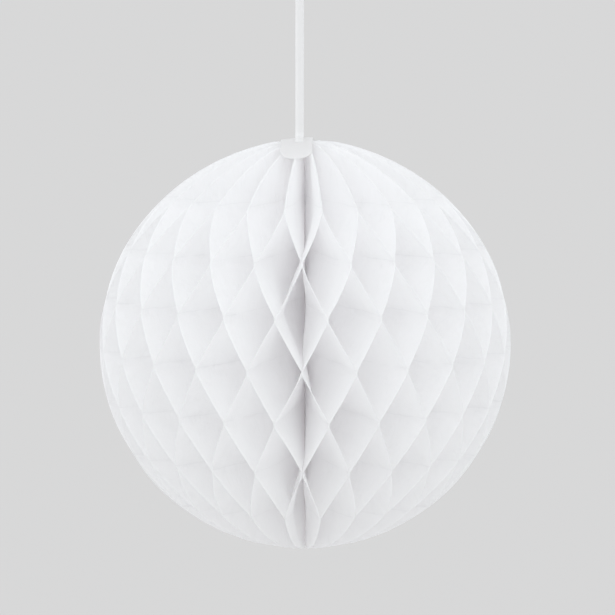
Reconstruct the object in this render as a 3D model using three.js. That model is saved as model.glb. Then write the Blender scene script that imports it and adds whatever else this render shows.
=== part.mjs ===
import * as THREE from 'three';

// Tissue body, in millimetres
const ballDiameter = 200;
const sheetCount = 48; // half discs of tissue fanned round the axis
const sheetThickness = 0.2;
const glueSpacing = 25; // height from one glue line to the next
const glueBandHeight = 2;
const middleGlueHeight = -2.7; // of the glue line nearest the middle of the ball
const glueFilm = 0.1; // between two faces that are glued together
const sheetTip = 2; // radial length of a sheet at its top and bottom corners
const spineSetback = 1.5; // from those corners to the ends of the bound edge
const shoulderDraw = 1.8; // how far hanging draws the shoulders in from a true sphere

// Closing cards, back to back at the seam
const cardThickness = 0.5;
const cardSetback = 3; // from the edge of the tissue

// Paper tab laid over the top
const tabWidth = 15.6;
const tabReach = 34.5; // from the top down the front, and down the back
const tabRound = 11.5; // length of each rounded end
const tabThickness = 0.3;
const tabOffset = -4; // sideways from the axis
const tabSeat = 0.2; // between the tab and the edges of the tissue

// Ribbon, and the knot that closes its loop
const ribbonWidth = 4.3;
const ribbonThickness = 0.3;
const ribbonOffset = -2.6; // sideways from the axis
const ribbonSeat = 0.3; // between the ribbon and what it lies on
const knotHeight = 4;
const knotWall = 1;
const knotBase = 70.5; // above the ribbon's lowest point at the top of the ball

// Fineness of the curves
const arcStep = THREE.MathUtils.degToRad(9);
const spineSides = 24;
const cardSegments = 40;
const tabStations = 5;
const tabRows = 6;
const tabEndRows = 4;
const ribbonSteps = 60;
const cornerSegments = 4;

// Sizes that follow from those above
const radius = ballDiameter / 2;
const sheetAngle = (2 * Math.PI) / sheetCount;
const spineRadius = (sheetCount * (sheetThickness + 2 * glueFilm)) / (2 * Math.PI);
const sheetStart = spineRadius + glueFilm;
const halfHeight = Math.sqrt(radius ** 2 - (sheetStart + sheetTip) ** 2);
const glueReach = halfHeight - glueSpacing / 2; // no line is glued close to the corners
const firstLine = Math.ceil((-glueReach - middleGlueHeight) / glueSpacing);
const lastLine = Math.floor((glueReach - middleGlueHeight) / glueSpacing);
const seamShift = ((cardThickness + glueFilm) * sheetCount) / (sheetCount - 1);
const tabTop = tabSeat + tabThickness;
const ribbonLift = tabTop + ribbonSeat + ribbonThickness / 2;

// Finishes
const tissue = new THREE.MeshStandardMaterial({ color: 0xf1f3f6, roughness: 0.95, metalness: 0 });
const card = new THREE.MeshStandardMaterial({ color: 0xf0efec, roughness: 0.85, metalness: 0 });
const binding = new THREE.MeshStandardMaterial({ color: 0xe6e6e2, roughness: 0.6, metalness: 0 });
const tabPaper = new THREE.MeshStandardMaterial({ color: 0xe8e9eb, roughness: 0.8, metalness: 0 });
const ribbonWeave = new THREE.MeshStandardMaterial({ color: 0xe6e9ec, roughness: 0.5, metalness: 0 });

const ball = new THREE.Group();

function addPiece(name, geometry, material) {
  const mesh = new THREE.Mesh(geometry, material);
  mesh.name = name;
  ball.add(mesh);
  return mesh;
}

// Closed skin over a row of rings, each counterclockwise as seen from the far end.
// The two faces of a thin piece are split along matching diagonals, so that it keeps its thickness.
function loft(rings) {
  const sides = rings[0].length;
  const last = (rings.length - 1) * sides;
  const index = [];
  for (let start = 0; start < last; start += sides) {
    for (let side = 0; side < sides; side += 1) {
      const here = start + side;
      const next = start + ((side + 1) % sides);
      if (side < sides / 2) {
        index.push(here, next, next + sides, here, next + sides, here + sides);
      } else {
        index.push(here, next, here + sides, next, next + sides, here + sides);
      }
    }
  }
  for (let side = 1; side < sides - 1; side += 1) {
    index.push(0, side + 1, side);
    index.push(last, last + side, last + side + 1);
  }
  const geometry = new THREE.BufferGeometry().setFromPoints(rings.flat());
  geometry.setIndex(index);
  geometry.computeVertexNormals();
  return geometry;
}

// The hung ball is drawn up to its top, so its shoulders sink most at two thirds of the way up
function hang(point) {
  const latitude = Math.atan2(point.z, Math.hypot(point.x, point.y));
  const rise = Math.max(latitude, 0) / (Math.PI / 2);
  const share = (27 / 4) * rise ** 2 * (1 - rise); // 1 at its largest
  const sink = shoulderDraw * share;
  return point.multiplyScalar(1 - sink / radius);
}

// Which way a sheet leans at a height: 1 on one neighbour, -1 on the other, and straight between.
// Past the first and last glue lines it stays with the neighbour it was glued to.
function lean(height) {
  const lines = THREE.MathUtils.clamp((height - middleGlueHeight) / glueSpacing, firstLine, lastLine);
  const below = Math.floor(lines);
  const halfBand = glueBandHeight / glueSpacing / 2;
  const travel = THREE.MathUtils.clamp((lines - below - halfBand) / (1 - 2 * halfBand), 0, 1);
  const side = below % 2 === 0 ? 1 : -1;
  return side * (1 - 2 * travel);
}

// Heights at which a sheet is cut into rows: the edges of its glue bands, and steps along its arc
function sheetHeights() {
  const bandEdges = [];
  for (let line = firstLine; line <= lastLine; line += 1) {
    const height = middleGlueHeight + line * glueSpacing;
    bandEdges.push(height - glueBandHeight / 2, height + glueBandHeight / 2);
  }
  const breaks = [-halfHeight, ...bandEdges, halfHeight];
  const heights = [-halfHeight];
  for (let row = 1; row < breaks.length; row += 1) {
    const from = Math.asin(breaks[row - 1] / radius);
    const to = Math.asin(breaks[row] / radius);
    const steps = Math.ceil((to - from) / arcStep);
    for (let step = 1; step <= steps; step += 1) {
      heights.push(radius * Math.sin(from + ((to - from) * step) / steps));
    }
  }
  return heights;
}

// One tissue sheet, standing out from the axis along +Y, zigzagging from neighbour to neighbour
function sheetGeometry(phase) {
  const rings = sheetHeights().map((height) => {
    const turn = phase * lean(height);
    const angle = (turn * sheetAngle) / 2;
    const middle = (turn * (sheetThickness + glueFilm)) / 2;
    const outward = new THREE.Vector3(-Math.sin(angle), Math.cos(angle), 0);
    const across = new THREE.Vector3(Math.cos(angle), Math.sin(angle), 0);
    const edge = Math.sqrt(radius ** 2 - height ** 2);
    const corner = (reach, side) =>
      hang(
        new THREE.Vector3(0, 0, height)
          .addScaledVector(outward, reach)
          .addScaledVector(across, middle + (side * sheetThickness) / 2),
      );
    return [corner(sheetStart, -1), corner(sheetStart, 1), corner(edge, 1), corner(edge, -1)];
  });
  return loft(rings);
}

// Fan of sheets; each stands aside a little, so that the two at the seam leave room for the cards
const sheetPair = [sheetGeometry(-1), sheetGeometry(1)];
for (let sheet = 0; sheet < sheetCount; sheet += 1) {
  const number = String(sheet + 1).padStart(2, '0');
  const mesh = addPiece(`tissue_sheet_${number}`, sheetPair[sheet % 2], tissue);
  const angle = (sheet + 0.5) * sheetAngle;
  const aside = seamShift * (1 - (2 * (sheet + 0.5)) / sheetCount);
  mesh.rotation.z = angle;
  mesh.position.set(-aside * Math.cos(angle), -aside * Math.sin(angle), 0);
}

// Closing cards, half discs on the +Y side of the axis
const cardRadius = radius - cardSetback;
const cardCorner = Math.acos(sheetStart / cardRadius);
const cardOutline = new THREE.Shape().absarc(0, 0, cardRadius, -cardCorner, cardCorner);
const cardGeometry = new THREE.ExtrudeGeometry(cardOutline, {
  depth: cardThickness,
  bevelEnabled: false,
  curveSegments: cardSegments,
});
cardGeometry.rotateX(Math.PI / 2);
cardGeometry.rotateZ(Math.PI / 2);
addPiece('end_card_right', cardGeometry, card).position.x = glueFilm / 2;
addPiece('end_card_left', cardGeometry, card).position.x = -glueFilm / 2 - cardThickness;

// Bound edge of the sheets, on the axis
const spineLength = 2 * (halfHeight - spineSetback);
const spineGeometry = new THREE.CylinderGeometry(spineRadius, spineRadius, spineLength, spineSides);
addPiece('spine_binding', spineGeometry, binding).rotation.x = Math.PI / 2;

// Point over the top of the ball: sideways, along the arc from front to back, and out from the tissue
function overTop(sideways, along, out) {
  const angle = along / radius;
  const point = new THREE.Vector3(sideways, radius * Math.sin(angle), radius * Math.cos(angle));
  return hang(point.setLength(radius + out));
}

// Hanger tab, a strip with round ends that follows the ball
const tabEnd = tabReach - tabRound;
const tabCuts = [];
for (let row = -tabRows; row <= tabRows; row += 1) {
  tabCuts.push({ along: (tabEnd * row) / tabRows, half: tabWidth / 2 });
}
for (let row = 1; row <= tabEndRows; row += 1) {
  const angle = (row / (tabEndRows + 0.5)) * (Math.PI / 2);
  const along = tabEnd + tabRound * Math.sin(angle);
  const half = (tabWidth / 2) * Math.cos(angle);
  tabCuts.push({ along, half });
  tabCuts.unshift({ along: -along, half });
}
const tabRings = tabCuts.map(({ along, half }) => {
  const under = [];
  const over = [];
  for (let station = 0; station < tabStations; station += 1) {
    const sideways = tabOffset + half * (1 - (2 * station) / (tabStations - 1));
    under.push(overTop(sideways, along, tabSeat));
    over.unshift(overTop(sideways, along, tabTop));
  }
  return [...under, ...over];
});
addPiece('hanger_tab', loft(tabRings), tabPaper);

// Ribbon: a foot glued along the tab, a straight rise, and a loop that comes back down to the knot
const ribbonFoot = [-12, -9, -6, -3.6].map((along) => overTop(ribbonOffset, along, ribbonLift));
const ribbonTop = overTop(ribbonOffset, 0, ribbonLift);
const ribbonRise = [
  [-1.5, 0.3],
  [-0.4, 1.4],
  [0, 3.2],
  [0, 12],
  [0, 27],
  [0, 42],
  [0, 57],
  [0, 69],
  [0, 75.5],
  [-1.6, 79.5],
  [-3.5, 84],
  [-4, 88.5],
  [-2.5, 92.6],
  [0.3, 94],
  [3.1, 92.6],
  [4.6, 88.5],
  [4.1, 84],
  [2.2, 79.5],
  [0.6, 75.5],
  [0.6, 72],
  [0.6, 69],
].map(([along, up]) => new THREE.Vector3(0, along, up).add(ribbonTop));
const ribbonPath = new THREE.CatmullRomCurve3([...ribbonFoot, ...ribbonRise]);
const ribbonBevel = ribbonThickness / 3;
const flatX = ribbonWidth / 2;
const flatY = ribbonThickness / 2;
const ribbonSection = new THREE.Shape([
  new THREE.Vector2(flatX, -flatY + ribbonBevel),
  new THREE.Vector2(flatX, flatY - ribbonBevel),
  new THREE.Vector2(flatX - ribbonBevel, flatY),
  new THREE.Vector2(-flatX + ribbonBevel, flatY),
  new THREE.Vector2(-flatX, flatY - ribbonBevel),
  new THREE.Vector2(-flatX, -flatY + ribbonBevel),
  new THREE.Vector2(-flatX + ribbonBevel, -flatY),
  new THREE.Vector2(flatX - ribbonBevel, -flatY),
]);
const ribbonGeometry = new THREE.ExtrudeGeometry(ribbonSection, {
  extrudePath: ribbonPath,
  steps: ribbonSteps,
  bevelEnabled: false,
});
addPiece('hanging_ribbon', ribbonGeometry, ribbonWeave);

// Knot, a band round the two layers of ribbon at the foot of the loop
function roundedBox(path, halfX, halfY, corner) {
  path.absarc(halfX - corner, -halfY + corner, corner, -Math.PI / 2, 0);
  path.absarc(halfX - corner, halfY - corner, corner, 0, Math.PI / 2);
  path.absarc(-halfX + corner, halfY - corner, corner, Math.PI / 2, Math.PI);
  path.absarc(-halfX + corner, -halfY + corner, corner, Math.PI, Math.PI * 1.5);
  return path;
}
const slotX = (ribbonWidth + 2 * ribbonSeat) / 2;
const slotY = (2 * ribbonThickness + 3 * ribbonSeat) / 2;
const knotOutline = roundedBox(new THREE.Shape(), slotX + knotWall, slotY + knotWall, knotWall);
knotOutline.holes.push(roundedBox(new THREE.Path(), slotX, slotY, ribbonSeat));
const knotGeometry = new THREE.ExtrudeGeometry(knotOutline, {
  depth: knotHeight,
  bevelEnabled: false,
  curveSegments: cornerSegments,
});
const knot = addPiece('ribbon_knot', knotGeometry, ribbonWeave);
knot.position.copy(ribbonTop);
knot.position.y += (ribbonThickness + ribbonSeat) / 2;
knot.position.z += knotBase;

export default ball;
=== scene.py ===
import math

import bpy
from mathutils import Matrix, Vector


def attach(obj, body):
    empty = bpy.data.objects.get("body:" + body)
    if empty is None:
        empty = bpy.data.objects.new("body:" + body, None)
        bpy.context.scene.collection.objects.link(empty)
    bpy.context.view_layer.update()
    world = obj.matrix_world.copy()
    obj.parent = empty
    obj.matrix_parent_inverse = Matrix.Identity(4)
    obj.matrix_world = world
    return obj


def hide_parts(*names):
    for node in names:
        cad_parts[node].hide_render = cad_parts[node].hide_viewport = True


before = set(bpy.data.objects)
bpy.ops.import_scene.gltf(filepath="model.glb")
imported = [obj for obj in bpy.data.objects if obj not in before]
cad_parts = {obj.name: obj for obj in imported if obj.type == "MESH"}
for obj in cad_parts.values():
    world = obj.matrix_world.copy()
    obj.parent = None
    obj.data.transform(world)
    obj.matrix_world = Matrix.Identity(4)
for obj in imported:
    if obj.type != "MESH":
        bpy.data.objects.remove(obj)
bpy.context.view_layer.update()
sheetNodes = sorted(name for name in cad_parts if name.startswith("tissue_sheet"))
print("frame loaded:", len(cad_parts), "solids")

ball = {  # metres, the middle of the ball at the origin
    "radius": 0.1,
    "sheets": len(sheetNodes),
    "sheetThickness": 0.0002,
    "glueFilm": 0.0001,
    "glueSpacing": 0.025,
    "glueBand": 0.002,
    "middleLine": -0.0027,  # height of the glue line nearest the middle
    "sheetTip": 0.002,  # width left at the top and bottom of a sheet
    "shoulderDraw": 0.0018,  # how far hanging draws the shoulders in
    "seamRoom": 0.0006,  # one card and its glue
}
fullTurn = 2 * math.pi
drawScale = 27 / 4  # brings the most of rise * rise * (1 - rise) to 1


def link(thing):
    bpy.context.scene.collection.objects.link(thing)
    return thing


def meshPiece(name, points, faces, material):
    mesh = bpy.data.meshes.new(name)
    mesh.from_pydata(points, [], faces)
    mesh.validate()
    mesh.polygons.foreach_set("use_smooth", [True] * len(mesh.polygons))
    mesh.set_sharp_from_angle(angle=math.radians(50))
    mesh.materials.append(material)
    return link(bpy.data.objects.new(name, mesh))


def ringSkin(rings):  # closed skin over a row of equal rings
    sides = len(rings[0])
    points = [point for ring in rings for point in ring]
    faces = [tuple(reversed(range(sides)))]
    for start in range(0, len(points) - sides, sides):
        for side in range(sides):
            nextSide = (side + 1) % sides
            faces.append((start + side, start + nextSide, start + sides + nextSide, start + sides + side))
    faces.append(tuple(range(len(points) - sides, len(points))))
    return points, faces


# Camera

view = {
    "turn": math.radians(0.87),  # a little to the right of the front column
    "rise": math.radians(6.5),
    "distance": 2.493,
    "lens": 300,
    "sensor": 36,
    "clipEnd": 100,
    "lookRight": 0.0012,
    "lookUp": 0.0172,
}


def addCamera():
    data = bpy.data.cameras.new("camera")
    data.lens = view["lens"]
    data.sensor_width = view["sensor"]
    data.clip_end = view["clipEnd"]
    camera = link(bpy.data.objects.new("camera", data))
    level = math.cos(view["rise"])
    back = Vector((math.sin(view["turn"]) * level, -math.cos(view["turn"]) * level, math.sin(view["rise"])))
    camera.rotation_mode = "QUATERNION"
    camera.rotation_quaternion = (-back).to_track_quat("-Z", "Y")
    aside = camera.rotation_quaternion @ Vector((view["lookRight"], view["lookUp"], 0))
    camera.location = back * view["distance"] + aside
    bpy.context.scene.camera = camera


addCamera()
print("camera placed")


# Formulas on nodes, for the geometry and the materials alike

class Field:  # a node's output that can stand in a formula
    def __init__(self, tree, socket):
        self.tree = tree
        self.socket = socket

    def __add__(self, other):
        return maths("ADD", self, other)

    def __sub__(self, other):
        return maths("SUBTRACT", self, other)

    def __rsub__(self, other):
        return maths("SUBTRACT", other, self)

    def __mul__(self, other):
        return maths("MULTIPLY", self, other)

    def __truediv__(self, other):
        return maths("DIVIDE", self, other)

    def __rtruediv__(self, other):
        return maths("DIVIDE", other, self)

    def __pow__(self, other):
        return maths("POWER", self, other)

    __radd__ = __add__
    __rmul__ = __mul__


def feed(tree, socket, value):
    if isinstance(value, Field):
        tree.links.new(value.socket, socket)
    else:
        socket.default_value = value


def maths(operation, *values):
    tree = next(value.tree for value in values if isinstance(value, Field))
    node = tree.nodes.new("ShaderNodeMath")
    node.operation = operation
    for socket, value in zip(node.inputs, values):
        feed(tree, socket, value)
    return Field(tree, node.outputs[0])


def clamped(value, low, high):
    return maths("MINIMUM", maths("MAXIMUM", value, low), high)


def mixed(start, end, share):
    return start + (end - start) * share


def smoothStep(value, low, high):
    share = clamped((value - low) / (high - low), 0, 1)
    return share * share * (3 - 2 * share)


def noise(tree, vector, scale, detail=2.0, roughness=0.5):
    node = tree.nodes.new("ShaderNodeTexNoise")
    tree.links.new(vector, node.inputs["Vector"])
    node.inputs["Scale"].default_value = scale
    node.inputs["Detail"].default_value = detail
    node.inputs["Roughness"].default_value = roughness
    return Field(tree, node.outputs[0])


def vectorOf(tree, x, y, z):
    node = tree.nodes.new("ShaderNodeCombineXYZ")
    for socket, value in zip(node.inputs, (x, y, z)):
        feed(tree, socket, value)
    return node.outputs[0]


# Materials

def newMaterial(name):
    material = bpy.data.materials.new(name)
    material.use_nodes = True
    tree = material.node_tree
    return material, tree, tree.nodes["Principled BSDF"]


def objectPlace(tree):
    return tree.nodes.new("ShaderNodeTexCoord").outputs["Object"]


def attribute(tree, name):
    node = tree.nodes.new("ShaderNodeAttribute")
    node.attribute_name = name
    return Field(tree, node.outputs["Fac"])


def pattern(tree, place, upright, scale, detail, roughness):  # a low upright draws it out in height
    node = tree.nodes.new("ShaderNodeMapping")
    tree.links.new(place, node.inputs["Vector"])
    node.inputs["Scale"].default_value = (1, 1, upright)
    return noise(tree, node.outputs["Vector"], scale, detail, roughness)


def toned(tree, shade, dark, light):
    node = tree.nodes.new("ShaderNodeMix")
    node.data_type = "RGBA"
    feed(tree, node.inputs[0], shade)
    node.inputs[6].default_value = (*dark, 1)
    node.inputs[7].default_value = (*light, 1)
    return node.outputs[2]


def bumped(tree, height, distance, strength, shaders):
    node = tree.nodes.new("ShaderNodeBump")
    feed(tree, node.inputs["Height"], height)
    node.inputs["Distance"].default_value = distance
    node.inputs["Strength"].default_value = strength
    for shader in shaders:
        tree.links.new(node.outputs["Normal"], shader.inputs["Normal"])


def seenThrough(tree, paper, colour, share):  # this share of the light goes on through the paper
    glow = tree.nodes.new("ShaderNodeBsdfTranslucent")
    tree.links.new(colour, glow.inputs["Color"])
    both = tree.nodes.new("ShaderNodeMixShader")
    feed(tree, both.inputs["Fac"], share)
    tree.links.new(paper.outputs[0], both.inputs[1])
    tree.links.new(glow.outputs[0], both.inputs[2])
    tree.links.new(both.outputs[0], tree.nodes["Material Output"].inputs["Surface"])
    return glow


tissueFinish = {
    "shade": (0.93, 0.93, 0.932),  # painted shade in the creases and folds; the darker fibres and sheets also lean towards it
    "light": (0.9998, 0.9993, 0.9995),
    "roughness": 0.95,
    "gloss": 0.1,
    "fibres": (0.45, 900.0, 3.0, 0.6),  # upright, scale, detail and roughness of each pattern
    "streaks": (0.08, 700.0, 2.0, 0.5),
    "crinkles": (0.4, 130.0, 3.0, 0.6),
    "cloudScale": 70.0,
    "creaseWidth": 0.0004,  # beside the glue lines
    "creaseWander": 0.002,
    "creaseClouds": (0.3, 0.55),  # creases and folds come and go with the clouds
    # how dark the painted shade in the creases is
    "creaseShade": 0.48,
    "foldWidth": 0.03,
    "foldClouds": (0.42, 0.62),
    # how dark the painted shade in the folds is
    "foldShade": 0.26,
    "fibreDepth": 0.08,
    "sheetDepth": 0.008,  # from sheet to sheet
    "throughShare": 0.48,  # light that goes through a face and not back from it
    "crinkleThrough": 0.5,  # how much that share changes with the crinkles
    "streakThrough": 0.5,
    "foldThrough": 0.08,  # what a fold takes from it
    "edgeThrough": 0.42,  # what the cut edge takes from it
    "edgeWidth": (0.0003, 0.0009),
    "topLines": (2.6, 3.1),  # glue lines between which the edges come together
    "streakRelief": 0.25,
    "fibreRelief": 0.1,
    "reliefHeight": 0.001,
    "reliefShare": 0.8,
}


def tissueMaterial():
    finish = tissueFinish
    material, tree, paper = newMaterial("white_tissue")
    place = objectPlace(tree)
    fibres = pattern(tree, place, *finish["fibres"])
    clouds = noise(tree, place, finish["cloudScale"])
    streaks = pattern(tree, place, *finish["streaks"])
    crinkle = pattern(tree, place, *finish["crinkles"])
    line = attribute(tree, "glueRow")

    # painted shade in the creases beside the glue lines and in the folds along the crinkles
    offLine = (line - maths("ROUND", line)) * ball["glueSpacing"] - ball["glueBand"] / 2
    offLine = offLine + (crinkle - 0.5) * finish["creaseWander"]
    crease = 1 - smoothStep(maths("ABSOLUTE", offLine), 0, finish["creaseWidth"])
    crease = crease * smoothStep(clouds, *finish["creaseClouds"])
    fold = 1 - smoothStep(maths("ABSOLUTE", crinkle - 0.5), 0, finish["foldWidth"])
    fold = fold * smoothStep(clouds, *finish["foldClouds"])

    # painted shade in creases and folds, with the real darker fibres and sheet to sheet tone
    paintedShadeAndGrain = crease * finish["creaseShade"] + fold * finish["foldShade"]
    paintedShadeAndGrain = paintedShadeAndGrain + maths("MAXIMUM", fibres - 0.5, 0) * finish["fibreDepth"]
    paintedShadeAndGrain = paintedShadeAndGrain + attribute(tree, "sheetTone") * finish["sheetDepth"]
    colour = toned(tree, clamped(1 - paintedShadeAndGrain, 0, 1), finish["shade"], finish["light"])
    tree.links.new(colour, paper.inputs["Base Color"])
    paper.inputs["Roughness"].default_value = finish["roughness"]
    paper.inputs["Specular IOR Level"].default_value = finish["gloss"]

    atEdge = 1 - smoothStep(attribute(tree, "fromEdge"), *finish["edgeWidth"])
    atEdge = atEdge * (1 - smoothStep(line, *finish["topLines"]))
    through = finish["throughShare"] + (crinkle - 0.5) * finish["crinkleThrough"]
    through = through + (streaks - 0.5) * finish["streakThrough"]
    through = through - fold * finish["foldThrough"] - atEdge * finish["edgeThrough"]
    glow = seenThrough(tree, paper, colour, clamped(through, 0, 1))

    relief = crinkle + streaks * finish["streakRelief"] + fibres * finish["fibreRelief"]
    bumped(tree, relief, finish["reliefHeight"], finish["reliefShare"], [paper, glow])
    return material


paperGrain = {  # the same on all stiffer papers
    "fibres": (4.0, 0.6),  # detail and roughness
    "cloudScale": 0.08,  # of the fibres' scale
    "fibreShare": 0.6,
    "roughnessVary": 0.2,
    "gloss": 0.25,
    "reliefHeight": 0.0002,
}
cardFinish = {
    "dark": (0.86, 0.855, 0.845),
    "light": (0.92, 0.915, 0.905),
    "scale": 1400.0,
    "roughness": 0.82,
    "reliefShare": 0.25,
    "throughShare": 0,
}
boundFinish = {
    "dark": (0.97, 0.965, 0.965),
    "light": (0.99, 0.985, 0.985),
    "scale": 2200.0,
    "roughness": 0.7,
    "reliefShare": 0.4,
    "throughShare": 0,
}
tabFinish = {
    "dark": (0.93, 0.925, 0.92),
    "light": (0.96, 0.955, 0.95),
    "scale": 1600.0,
    "roughness": 0.8,
    "reliefShare": 0.15,
    "throughShare": 0.4,
}


def paperMaterial(name, finish):
    material, tree, paper = newMaterial(name)
    place = objectPlace(tree)
    fibres = noise(tree, place, finish["scale"], *paperGrain["fibres"])
    clouds = noise(tree, place, finish["scale"] * paperGrain["cloudScale"])
    shade = mixed(clouds, fibres, paperGrain["fibreShare"])
    colour = toned(tree, shade, finish["dark"], finish["light"])
    tree.links.new(colour, paper.inputs["Base Color"])
    roughness = finish["roughness"] + (fibres - 0.5) * paperGrain["roughnessVary"]
    feed(tree, paper.inputs["Roughness"], roughness)
    paper.inputs["Specular IOR Level"].default_value = paperGrain["gloss"]
    bumped(tree, fibres, paperGrain["reliefHeight"], finish["reliefShare"], [paper])
    if finish["throughShare"]:
        seenThrough(tree, paper, colour, finish["throughShare"])
    return material


ribbonFinish = {
    "dark": (0.84, 0.835, 0.83),
    "light": (0.94, 0.935, 0.93),
    "roughness": 0.5,
    "roughnessVary": 0.25,
    "gloss": 0.4,
    "strandScale": (2600.0, 35.0),  # across and along
    "strandDetail": 3.0,
    "strandShare": 0.8,
    "sheenSide": (-0.0012, -0.0004),  # painted sheen: one side is lighter
    "sheenShare": 0.35,
    "reliefHeight": 0.0001,
    "reliefShare": 0.3,
}


def ribbonMaterial():
    finish = ribbonFinish
    material, tree, weave = newMaterial("white_ribbon")
    across = attribute(tree, "across")
    scaleAcross, scaleAlong = finish["strandScale"]
    threads = vectorOf(tree, across * scaleAcross, attribute(tree, "along") * scaleAlong, 0)
    strand = noise(tree, threads, 1, finish["strandDetail"])
    # painted sheen down one side of the ribbon
    sheen = 1 - smoothStep(across, *finish["sheenSide"])
    shade = clamped(strand * finish["strandShare"] + sheen * finish["sheenShare"], 0, 1)
    tree.links.new(toned(tree, shade, finish["dark"], finish["light"]), weave.inputs["Base Color"])
    roughness = finish["roughness"] + (strand - 0.5) * finish["roughnessVary"]
    feed(tree, weave.inputs["Roughness"], roughness)
    weave.inputs["Specular IOR Level"].default_value = finish["gloss"]
    bumped(tree, strand, finish["reliefHeight"], finish["reliefShare"], [weave])
    return material


whiteTissue = tissueMaterial()
whiteCard = paperMaterial("white_card", cardFinish)
boundEdge = paperMaterial("bound_edge", boundFinish)
tabPaper = paperMaterial("tab_paper", tabFinish)
whiteRibbon = ribbonMaterial()
print("materials made")


# Ribbon and its knot

ribbon = {
    "width": 0.0041,
    "thickness": 0.0003,
    "edgeThinning": 0.55,
    "edgeSharpness": 8,
    "footGlue": 0.0004,  # between the foot and the tab
    "footEnd": 0.003,  # length over which the foot thins out
    "offset": -0.0026,  # sideways from the axis
    "lift": 0.00095,  # of its middle over the edges of the tissue
    "foot": (-0.012, -0.009, -0.006, -0.0036),  # along the top of the ball, front to back
    "rise": (  # front to back, and up from the top of the ball
        (-0.0015, 0.0003),
        (-0.0004, 0.0014),
        (0, 0.0032),
        (0, 0.012),
        (0, 0.027),
        (0, 0.042),
        (0, 0.057),
        (0, 0.069),
        (0, 0.0755),
        (-0.0016, 0.0795),
        (-0.0035, 0.084),
        (-0.004, 0.0885),
        (-0.0025, 0.0926),
        (0.0003, 0.094),
        (0.0031, 0.0926),
        (0.0046, 0.0885),
        (0.0041, 0.084),
        (0.0022, 0.0795),
        (0.0006, 0.0755),
        (0.0006, 0.072),
        (0.0006, 0.069),
    ),
    "stepsPerPoint": 8,
    "ribs": 5,
    "ribDepth": 0.00003,
    "pointsAcross": 31,
}


def hang(point):
    latitude = math.atan2(point.z, math.hypot(point.x, point.y))
    rise = max(latitude, 0) / (math.pi / 2)
    sink = ball["shoulderDraw"] * drawScale * rise ** 2 * (1 - rise)
    return point * (1 - sink / ball["radius"])


def overTop(sideways, along, out):  # a point over the top of the ball, out from the tissue
    angle = along / ball["radius"]
    point = Vector((sideways, ball["radius"] * math.sin(angle), ball["radius"] * math.cos(angle)))
    return hang(point.normalized() * (ball["radius"] + out))


def smoothRoute(points, steps):
    ends = [2 * points[0] - points[1], *points, 2 * points[-1] - points[-2]]
    route = []
    for first, start, end, last in zip(ends, ends[1:], ends[2:], ends[3:]):
        for step in range(steps):
            t = step / steps
            bend = 2 * first - 5 * start + 4 * end - last
            twist = 3 * start - first - 3 * end + last
            route.append((2 * start + (end - first) * t + bend * t ** 2 + twist * t ** 3) / 2)
    return [*route, points[-1]]


def ribbonRoute():
    foot = [overTop(ribbon["offset"], along, ribbon["lift"]) for along in ribbon["foot"]]
    top = overTop(ribbon["offset"], 0, ribbon["lift"])
    rise = [top + Vector((0, along, up)) for along, up in ribbon["rise"]]
    return smoothRoute(foot + rise, ribbon["stepsPerPoint"])


def ribbonRing(point, face, glued, thinned):
    inner = []  # towards the ball at the foot
    outer = []
    for place in range(ribbon["pointsAcross"]):
        share = 2 * place / (ribbon["pointsAcross"] - 1) - 1
        rib = ribbon["ribDepth"] * math.cos(share * math.pi * ribbon["ribs"])
        half = ribbon["thickness"] / 2 * (1 - ribbon["edgeThinning"] * abs(share) ** ribbon["edgeSharpness"])
        middle = point + Vector((share * ribbon["width"] / 2, 0, 0))
        inner.append(middle + face * (half + rib + glued))
        outer.insert(0, middle - face * (half - rib - thinned))
    return inner + outer


def addRibbon():
    route = ribbonRoute()
    rings = []
    along = []
    walked = 0
    for number, point in enumerate(route):
        before = route[max(number - 1, 0)]
        after = route[min(number + 1, len(route) - 1)]
        walked += (point - before).length
        footLeft = len(ribbon["foot"]) - 1 - number / ribbon["stepsPerPoint"]
        glued = ribbon["footGlue"] * min(max(footLeft, 0), 1)
        thinned = glued * max(1 - walked / ribbon["footEnd"], 0)
        face = (after - before).cross(Vector((1, 0, 0))).normalized()
        rings.append(ribbonRing(point, face, glued, thinned))
        along += [walked] * len(rings[-1])
    points, faces = ringSkin(rings)
    across = [point.x - ribbon["offset"] for point in points]
    piece = meshPiece("hanging_ribbon_strip", points, faces, whiteRibbon)
    for name, values in (("across", across), ("along", along)):
        piece.data.attributes.new(name, "FLOAT", "POINT").data.foreach_set("value", values)
    return piece, route, walked


knot = {
    "base": 0.0705,  # above the ribbon's lowest point at the top of the ball
    "height": 0.004,
    "wall": 0.001,
    "endShare": 0.55,  # of the wall at its top and bottom
    "room": 0.0003,
    "squareness": 0.5,  # 1 would be a true ellipse
    "sides": 48,
    "rows": 14,
    "turns": 3,  # ridges of the wound ribbon
    "ridgeDepth": 0.12,
}


def addKnot():
    middle = overTop(ribbon["offset"], 0, ribbon["lift"])
    middle += Vector((0, ribbon["thickness"], knot["base"]))
    slotX = ribbon["width"] / 2 + knot["room"]
    slotY = ribbon["thickness"] + 1.5 * knot["room"]  # two strips lie in it
    rings = []
    for row in range(knot["rows"] + 1):
        up = row / knot["rows"]
        swell = mixed(knot["endShare"], 1, math.sin(math.pi * up) ** 0.5)
        ring = []
        for side in range(knot["sides"]):
            turn = fullTurn * side / knot["sides"]
            ridge = 1 + knot["ridgeDepth"] * (math.sin(fullTurn * knot["turns"] * up + turn) - 1)
            wall = knot["wall"] * swell * ridge
            cosine = math.cos(turn)
            sine = math.sin(turn)
            x = math.copysign(abs(cosine) ** knot["squareness"], cosine) * (slotX + wall)
            y = math.copysign(abs(sine) ** knot["squareness"], sine) * (slotY + wall)
            ring.append(middle + Vector((x, y, knot["height"] * up)))
        rings.append(ring)
    points, faces = ringSkin(rings)
    return meshPiece("ribbon_knot_wrap", points, faces, whiteRibbon)


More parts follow.
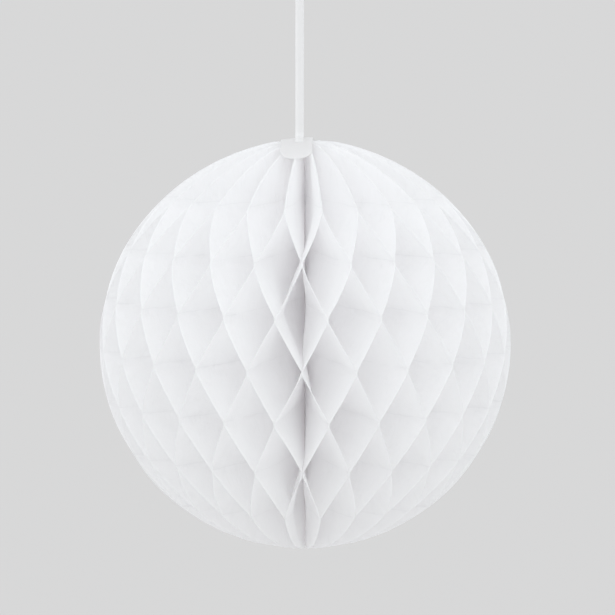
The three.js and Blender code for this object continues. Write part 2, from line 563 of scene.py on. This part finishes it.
ribbonStrip, route, ribbonLength = addRibbon()
knotWrap = addKnot()
for piece, node in ((ribbonStrip, "hanging_ribbon"), (knotWrap, "ribbon_knot")):
    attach(piece, "root")
    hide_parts(node)
print("ribbon made, length", round(ribbonLength, 4), "m")


# Tissue sheets: one rule bends them all

honeycomb = {
    "columns": 15,
    "rowsPerGap": 8,
    "crowding": 1.2,  # of the columns towards the cut edge
    "rowCrowding": 0.64,  # of the rows towards the glue lines
    "wander": math.radians(0.3),  # of each glued place round the ball
    "bow": math.radians(0.2),  # of each wall between its glue lines
    "flutter": 0.0008,  # of the cut edge
    "flutterDepth": 0.02,  # how far in from the cut edge
    "ripples": (3.7, 110.0, 30.0),  # how fast it changes from sheet to sheet, upwards and outwards
    "rim": 0.0006,  # depth of the thinner cut edge
    "rimThinning": 0.2,  # share of the thickness that it loses
    "belly": math.radians(2.4),  # of each glued pair, halfway to the axis
    "crumple": math.radians(6),  # of each glued pair, near the axis
    "swirl": math.radians(-3),  # of the deep parts of all sheets, this way and that with the height
    "swirlWave": 0.1,
    "swirlStart": 0.005,
    "secondSwirl": 0.35,  # a smaller and quicker wave on the first
    "secondPace": 2.7,
    "calmWidth": 1.2,  # less gives a wider calm beside the flat cards
    "deepFrom": (0.004, 0.02),  # from the axis
    "deepTo": (0.3, 0.7),  # share of the way to the cut edge
    "flapPart": 0.07,  # how far the corners past the outermost glue lines part again
    "cutError": 0.00007,
    "seed": 414,
}


def honeycombSizes():
    layer = ball["sheetThickness"] + 2 * ball["glueFilm"]
    start = ball["sheets"] * layer / fullTurn + ball["glueFilm"]
    halfHeight = math.sqrt(ball["radius"] ** 2 - (start + ball["sheetTip"]) ** 2)
    glueReach = halfHeight - ball["glueSpacing"] / 2  # no line is glued nearer the corners
    rowStep = ball["glueSpacing"] / honeycomb["rowsPerGap"]
    firstRow = math.floor((-halfHeight - ball["middleLine"]) / rowStep)
    lastRow = math.ceil((halfHeight - ball["middleLine"]) / rowStep)
    return {
        "Sheets": ball["sheets"],
        "Radius": ball["radius"],
        "Thickness": ball["sheetThickness"],
        "Glue Film": ball["glueFilm"],
        "Glue Spacing": ball["glueSpacing"],
        "Glue Band": ball["glueBand"],
        "Middle Line": ball["middleLine"],
        "First Line": math.ceil((-glueReach - ball["middleLine"]) / ball["glueSpacing"]),
        "Last Line": math.floor((glueReach - ball["middleLine"]) / ball["glueSpacing"]),
        "Start": start,
        "Half Height": halfHeight,
        "Rows Per Gap": honeycomb["rowsPerGap"],
        "Row Crowding": honeycomb["rowCrowding"],
        "First Row": firstRow,
        "Rows": lastRow - firstRow + 1,
        "Columns": honeycomb["columns"],
        "Crowding": honeycomb["crowding"],
        "Shoulder Draw": ball["shoulderDraw"],
        "Seam Shift": ball["seamRoom"] * ball["sheets"] / (ball["sheets"] - 1),
        "Wander": honeycomb["wander"],
        "Bow": honeycomb["bow"],
        "Flutter": honeycomb["flutter"],
        "Flutter Depth": honeycomb["flutterDepth"],
        "Rim": honeycomb["rim"],
        "Rim Thinning": honeycomb["rimThinning"],
        "Belly": honeycomb["belly"],
        "Crumple": honeycomb["crumple"],
        "Swirl": honeycomb["swirl"],
        "Swirl Wave": honeycomb["swirlWave"],
        "Swirl Start": honeycomb["swirlStart"],
        "Second Swirl": honeycomb["secondSwirl"],
        "Second Pace": honeycomb["secondPace"],
        "Calm Width": honeycomb["calmWidth"],
        "Flap Part": honeycomb["flapPart"],
        "Cut Error": honeycomb["cutError"],
        "Seed": honeycomb["seed"],
        "Tissue": whiteTissue,
    }


def nodeTree(name, sizes):
    tree = bpy.data.node_groups.new(name, "GeometryNodeTree")
    tree.interface.new_socket("Mesh", in_out="OUTPUT", socket_type="NodeSocketGeometry")
    kinds = {int: "NodeSocketInt", float: "NodeSocketFloat"}
    for label, value in sizes.items():
        kind = kinds.get(type(value), "NodeSocketMaterial")
        tree.interface.new_socket(label, in_out="INPUT", socket_type=kind)
    entry = tree.nodes.new("NodeGroupInput")
    return tree, {label: Field(tree, entry.outputs[label]) for label in sizes}


def geometryStep(tree, kind, geometry):
    node = tree.nodes.new(kind)
    tree.links.new(geometry, node.inputs["Geometry"])
    return node


def stored(tree, geometry, name, value, domain="POINT", kind="FLOAT"):
    node = geometryStep(tree, "GeometryNodeStoreNamedAttribute", geometry)
    node.data_type = kind
    node.domain = domain
    node.inputs["Name"].default_value = name
    feed(tree, node.inputs["Value"], value)
    return node.outputs["Geometry"]


def recalled(tree, name, kind="FLOAT"):
    node = tree.nodes.new("GeometryNodeInputNamedAttribute")
    node.data_type = kind
    node.inputs["Name"].default_value = name
    return Field(tree, node.outputs["Attribute"])


def randomField(tree, seed, ident, spread):
    node = tree.nodes.new("FunctionNodeRandomValue")
    sockets = {socket.identifier: socket for socket in node.inputs}
    sockets["Min_001"].default_value = -1
    sockets["Max_001"].default_value = 1
    feed(tree, sockets["ID"], ident)
    feed(tree, sockets["Seed"], seed)
    value = next(socket for socket in node.outputs if socket.identifier == "Value_001")
    return Field(tree, value) * spread


def lineIdent(number, line):  # one whole number for each line of each sheet or seam
    return number * 64 + line + 16


def sheetStack(tree, size):  # flat copies of one sheet, each with its number
    sheet = tree.nodes.new("GeometryNodeMeshCube")
    sheet.inputs["Vertices X"].default_value = 2
    feed(tree, sheet.inputs["Vertices Y"], size["Columns"])
    feed(tree, sheet.inputs["Vertices Z"], size["Rows"])
    spots = tree.nodes.new("GeometryNodePoints")
    feed(tree, spots.inputs["Count"], size["Sheets"])
    copies = tree.nodes.new("GeometryNodeInstanceOnPoints")
    tree.links.new(spots.outputs["Points"], copies.inputs["Points"])
    tree.links.new(sheet.outputs["Mesh"], copies.inputs["Instance"])
    number = Field(tree, tree.nodes.new("GeometryNodeInputIndex").outputs["Index"])
    numbered = stored(tree, copies.outputs["Instances"], "sheet", number, "INSTANCE", "INT")
    return geometryStep(tree, "GeometryNodeRealizeInstances", numbered).outputs["Geometry"]


def honeycombTree(sizes):
    tree, size = nodeTree("honeycomb", sizes)
    stack = sheetStack(tree, size)
    sheet = recalled(tree, "sheet", "INT")
    split = tree.nodes.new("ShaderNodeSeparateXYZ")
    tree.links.new(tree.nodes.new("GeometryNodeInputPosition").outputs["Position"], split.inputs[0])
    face, column, row = (Field(tree, socket) for socket in split.outputs)

    # height, and place between two glue lines
    place = (maths("ROUND", (row + 0.5) * (size["Rows"] - 1)) + size["First Row"]) / size["Rows Per Gap"]
    place = place - size["Row Crowding"] * maths("SINE", place * fullTurn) / fullTurn
    height = size["Middle Line"] + place * size["Glue Spacing"]
    height = clamped(height, 0 - size["Half Height"], size["Half Height"])
    line = (height - size["Middle Line"]) / size["Glue Spacing"]
    held = clamped(line, size["First Line"], size["Last Line"])
    below = maths("FLOOR", held)
    band = size["Glue Band"] / size["Glue Spacing"] / 2
    travel = clamped((held - below - band) / (1 - 2 * band), 0, 1)
    loose = maths("SINE", travel * math.pi)  # nothing at a glue line, most halfway

    # which neighbour the sheet leans on
    phase = 2 * maths("FLOORED_MODULO", sheet, 2) - 1
    lean = phase * (1 - 2 * maths("FLOORED_MODULO", below, 2))
    past = maths("MAXIMUM", size["First Line"] - line, line - size["Last Line"])
    part = clamped((past - band) / (1 - 2 * band), 0, 1)
    turn = lean * (1 - 2 * travel) * (1 - size["Flap Part"] * part)

    # small errors of hand and glue
    def seamShift(seam, gluedLine, spread, seed):
        atCards = maths("COMPARE", seam, 0, 0.5) + maths("COMPARE", seam, size["Sheets"], 0.5)
        return randomField(tree, seed, lineIdent(seam, gluedLine), spread) * (1 - atCards)

    def gluedShift(spread, seedStep):  # shared by the two sheets of a glued pair, none at the cards
        seed = size["Seed"] + seedStep
        lower = seamShift(sheet + (1 + lean) / 2, below, spread, seed)
        upper = seamShift(sheet + (1 - lean) / 2, below + 1, spread, seed)
        return mixed(lower, upper, travel)

    wandered = gluedShift(size["Wander"], 0)
    belly = gluedShift(size["Belly"], 4)
    crumple = gluedShift(size["Crumple"], 5)
    bow = randomField(tree, size["Seed"] + 1, lineIdent(sheet, below), size["Bow"]) * loose
    cut = randomField(tree, size["Seed"] + 2, sheet, size["Cut Error"])
    tone = randomField(tree, size["Seed"] + 3, sheet, 0.5) + 0.5

    # distance from the axis
    edge = maths("SQRT", size["Radius"] ** 2 - height ** 2) + cut
    inward = maths("ROUND", (0.5 - column) * (size["Columns"] - 1))
    deeper = clamped((inward - 1) / (size["Columns"] - 2), 0, 1) ** size["Crowding"]
    fromEdge = clamped(inward, 0, 1) * size["Rim"] + deeper * (edge - size["Start"] - size["Rim"])
    reach = edge - fromEdge

    # angle round the axis
    step = fullTurn / size["Sheets"]
    stand = (sheet + 0.5) * step
    pace = fullTurn / size["Swirl Wave"]
    wave = maths("SINE", (height - size["Swirl Start"]) * pace)
    wave = wave + size["Second Swirl"] * maths("SINE", height * pace * size["Second Pace"] + 1)
    calm = clamped(size["Calm Width"] * (1 - maths("COSINE", stand)), 0, 1)
    deep = smoothStep(reach, *honeycomb["deepFrom"]) * (1 - smoothStep(reach / edge, *honeycomb["deepTo"]))
    halfway = reach / edge * (1 - reach / edge) * 4
    bent = belly * halfway + (crumple + wave * calm * size["Swirl"]) * deep
    angle = stand + turn * step / 2 + wandered + bow + bent

    # out from the sheet's own plane
    nearEdge = 1 - smoothStep(fromEdge, 0, size["Flutter Depth"])
    ripples = [value * rate for value, rate in zip((sheet, height, reach), honeycomb["ripples"])]
    ripple = noise(tree, vectorOf(tree, *ripples), 1) - 0.5
    thick = size["Thickness"] * (1 - size["Rim Thinning"] * maths("LESS_THAN", inward, 0.5))
    sideways = turn * (size["Thickness"] + size["Glue Film"]) / 2 + face * thick
    sideways = sideways + ripple * nearEdge * loose * size["Flutter"]
    aside = size["Seam Shift"] * (1 - 2 * (sheet + 0.5) / size["Sheets"])
    x = maths("COSINE", angle) * sideways - maths("SINE", angle) * reach - maths("COSINE", stand) * aside
    y = maths("SINE", angle) * sideways + maths("COSINE", angle) * reach - maths("SINE", stand) * aside

    # the hung ball is drawn up to its top
    latitude = maths("ARCTAN2", height, maths("SQRT", x * x + y * y))
    rise = maths("MAXIMUM", latitude, 0) / (math.pi / 2)
    shrink = 1 - size["Shoulder Draw"] / size["Radius"] * drawScale * rise * rise * (1 - rise)

    kept = {
        "fromEdge": fromEdge,
        "glueRow": line,
        "sheetTone": tone,
        "placeX": x * shrink,
        "placeY": y * shrink,
        "placeZ": height * shrink,
    }
    for name, value in kept.items():
        stack = stored(tree, stack, name, value)
    finishSheets(tree, size, stack)
    return tree


def finishSheets(tree, size, stack):
    place = geometryStep(tree, "GeometryNodeSetPosition", stack)
    spot = vectorOf(tree, recalled(tree, "placeX"), recalled(tree, "placeY"), recalled(tree, "placeZ"))
    tree.links.new(spot, place.inputs["Position"])
    smooth = geometryStep(tree, "GeometryNodeSetShadeSmooth", place.outputs["Geometry"])
    smooth.inputs["Shade Smooth"].default_value = True
    realize = geometryStep(tree, "GeometryNodeRealizeInstances", smooth.outputs["Geometry"])
    paint = geometryStep(tree, "GeometryNodeSetMaterial", realize.outputs["Geometry"])
    feed(tree, paint.inputs["Material"], size["Tissue"])
    output = tree.nodes.new("NodeGroupOutput")
    tree.links.new(paint.outputs["Geometry"], output.inputs["Mesh"])


def grownMesh(name, tree, sizes):
    piece = link(bpy.data.objects.new(name, bpy.data.meshes.new(name + "_seed")))
    modifier = piece.modifiers.new("grow", "NODES")
    modifier.node_group = tree
    for item in tree.interface.items_tree:
        if item.in_out == "INPUT":
            modifier[item.identifier] = sizes[item.name]
    depsgraph = bpy.context.evaluated_depsgraph_get()
    grown = piece.evaluated_get(depsgraph)
    mesh = bpy.data.meshes.new_from_object(grown, preserve_all_data_layers=True, depsgraph=depsgraph)
    piece.modifiers.remove(modifier)
    piece.data = mesh
    mesh.set_sharp_from_angle(angle=math.radians(60))
    return piece


def addTissue():
    sizes = honeycombSizes()
    piece = grownMesh("tissue_honeycomb", honeycombTree(sizes), sizes)
    for name in ("placeX", "placeY", "placeZ"):
        piece.data.attributes.remove(piece.data.attributes[name])
    return piece


tissue = addTissue()
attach(tissue, "root")
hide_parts(*sheetNodes)
print("tissue made:", len(tissue.data.polygons), "faces")


# Paper tab over the top

tab = {
    "width": 0.0156,
    "reach": 0.0345,
    "round": 0.0115,
    "thickness": 0.00015,
    "offset": -0.004,
    "seat": 0.0002,
    "rows": 72,
    "stations": 15,
    "squareness": 2.4,  # 2 would be a true ellipse
    "tipShare": 0.999,  # of the reach, so that the ends keep some width
}


def tabHalfWidth(along):
    past = max(abs(along) - (tab["reach"] - tab["round"]), 0) / tab["round"]
    return tab["width"] / 2 * (1 - past ** tab["squareness"]) ** (1 / tab["squareness"])


def addTab():
    rings = []
    for row in range(tab["rows"] + 1):
        lean = math.sin(math.pi * (row / tab["rows"] - 0.5))  # rows crowd towards the ends
        along = tab["reach"] * tab["tipShare"] * lean
        half = tabHalfWidth(along)
        under = []
        over = []
        for station in range(tab["stations"]):
            share = 1 - 2 * station / (tab["stations"] - 1)
            sideways = tab["offset"] + half * share
            under.append(overTop(sideways, along, tab["seat"]))
            over.insert(0, overTop(sideways, along, tab["seat"] + tab["thickness"]))
        rings.append(under + over)
    points, faces = ringSkin(rings)
    return meshPiece("hanger_tab_paper", points, faces, tabPaper)


tabPiece = addTab()
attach(tabPiece, "root")
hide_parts("hanger_tab")
print("tab made")


# Cards and bound edge keep their solids

solidFinishes = {"end_card_left": whiteCard, "end_card_right": whiteCard, "spine_binding": boundEdge}
for node, material in solidFinishes.items():
    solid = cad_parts[node].data
    solid.materials.clear()
    solid.materials.append(material)
print("cards and bound edge finished")


# Floor and light

stage = {
    "floorDrop": 0.32,  # below the middle of the ball
    "floorSize": 80,
    "floorColour": (0.73, 0.715, 0.70),
    "floorBounce": (0.82, 0.81, 0.80),  # what the ball gets back from it
    "light": (0.955, 0.976, 1.0),
    "level": 0.895,
    "brightSide": (-0.05, -0.87, 0.49),  # where the even light is strongest
    "brightShare": 0.3,  # how much stronger it is there
    "backdrop": (0.685, 0.68, 0.675),
    "bounces": 240,  # light scatters on through many sheets
}


def floorMaterial():
    material, tree, floor = newMaterial("pale_floor")
    rays = tree.nodes.new("ShaderNodeLightPath")
    seen = Field(tree, rays.outputs["Is Camera Ray"])
    colour = toned(tree, seen, stage["floorBounce"], stage["floorColour"])
    tree.links.new(colour, floor.inputs["Base Color"])
    floor.inputs["Roughness"].default_value = 1
    floor.inputs["Specular IOR Level"].default_value = 0
    return material


def addFloor():
    half = stage["floorSize"] / 2
    corners = [(x * half, y * half, -stage["floorDrop"]) for x, y in ((-1, -1), (1, -1), (1, 1), (-1, 1))]
    meshPiece("floor", corners, [(0, 1, 2, 3)], floorMaterial())


def addWorld():
    world = bpy.data.worlds.new("studio")
    world.use_nodes = True
    tree = world.node_tree
    light = tree.nodes["Background"]
    light.inputs["Color"].default_value = (*stage["light"], 1)
    facing = tree.nodes.new("ShaderNodeVectorMath")
    facing.operation = "DOT_PRODUCT"
    tree.links.new(tree.nodes.new("ShaderNodeTexCoord").outputs["Generated"], facing.inputs[0])
    facing.inputs[1].default_value = stage["brightSide"]
    towards = Field(tree, facing.outputs["Value"])
    feed(tree, light.inputs["Strength"], (1 + towards * stage["brightShare"]) * stage["level"])
    backdrop = tree.nodes.new("ShaderNodeBackground")
    backdrop.inputs["Color"].default_value = (*stage["backdrop"], 1)
    rays = tree.nodes.new("ShaderNodeLightPath")  # transmission rays are the tissue's own glow, so not them
    seen = Field(tree, rays.outputs["Is Camera Ray"])
    seen = maths("MAXIMUM", seen, Field(tree, rays.outputs["Is Glossy Ray"]))
    both = tree.nodes.new("ShaderNodeMixShader")
    feed(tree, both.inputs["Fac"], seen)
    tree.links.new(light.outputs[0], both.inputs[1])
    tree.links.new(backdrop.outputs[0], both.inputs[2])
    tree.links.new(both.outputs[0], tree.nodes["World Output"].inputs["Surface"])
    world.cycles.sampling_method = "NONE"  # the light is even, so paths find it by themselves
    bpy.context.scene.world = world


addFloor()
addWorld()
bpy.context.scene.view_settings.view_transform = "Standard"
for kind in ("max", "diffuse", "transmission"):
    setattr(bpy.context.scene.cycles, kind + "_bounces", stage["bounces"])
print("floor and light set")
